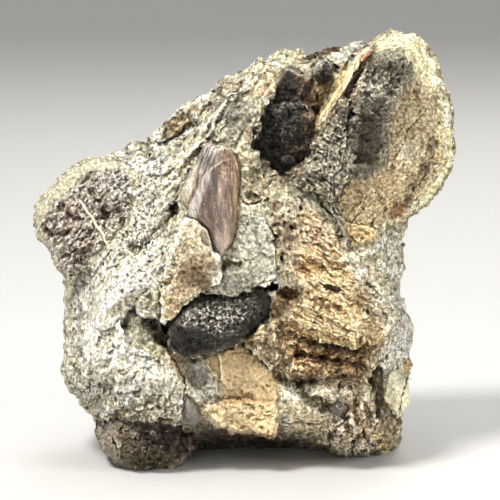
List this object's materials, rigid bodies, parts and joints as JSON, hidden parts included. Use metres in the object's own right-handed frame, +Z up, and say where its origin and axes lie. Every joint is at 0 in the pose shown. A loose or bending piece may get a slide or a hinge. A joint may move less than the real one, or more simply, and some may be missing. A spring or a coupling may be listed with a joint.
{
  "type": "fossil reptile bone block",
  "caption": "Fist-sized block of grey siltstone with a broken tooth crown, dark and tan bone pieces and pebbles set in its front face; a display fossil that stands on a flat underside.",
  "frame": {"origin": "middle of the object's bounding box, at the height of the surface it stands on", "axes": "+Z up, -Y out of the face that shows the fossils, +X to the right as that face is looked at"},
  "size_m": [0.0634, 0.0516, 0.0657],
  "materials": {
    "siltstone": "matte, pitted",
    "tooth_enamel": "glossy, finely ribbed",
    "black_bone": "satin, speckled",
    "grey_bone": "rough, crumpled",
    "blade_bone": "satin",
    "shaft_bone": "satin",
    "black_stone": "glossy",
    "orange_bone": "rough, fibrous",
    "tan_bone": "matte",
    "ochre_bone": "matte",
    "pink_bone": "rough, pitted",
    "brown_bone": "satin",
    "grey_stone": "smooth",
    "pale_shell": "satin",
    "rootlet": "dry, matte"
  },
  "bodies": {
    "root": {"stone_block": "siltstone", "tooth_crown": "tooth_enamel", "black_rib_bone": "black_bone", "grey_spongy_bone": "grey_bone", "bone_blade": "blade_bone", "black_bone_shaft": "shaft_bone", "black_pebble": "black_stone", "orange_spongy_bone": "orange_bone", "tan_bone_lobe": "tan_bone", "ochre_bone_slab": "ochre_bone", "left_spongy_bone": "pink_bone", "brown_bone_knob": "brown_bone", "dark_pebble_upper": "grey_stone", "dark_pebble_lower": "grey_stone", "dark_chip": "black_stone", "grey_grit_by_tooth": "grey_stone", "pale_shell_chip": "pale_shell", "white_rootlet": "rootlet"}
  },
  "joints": []
}
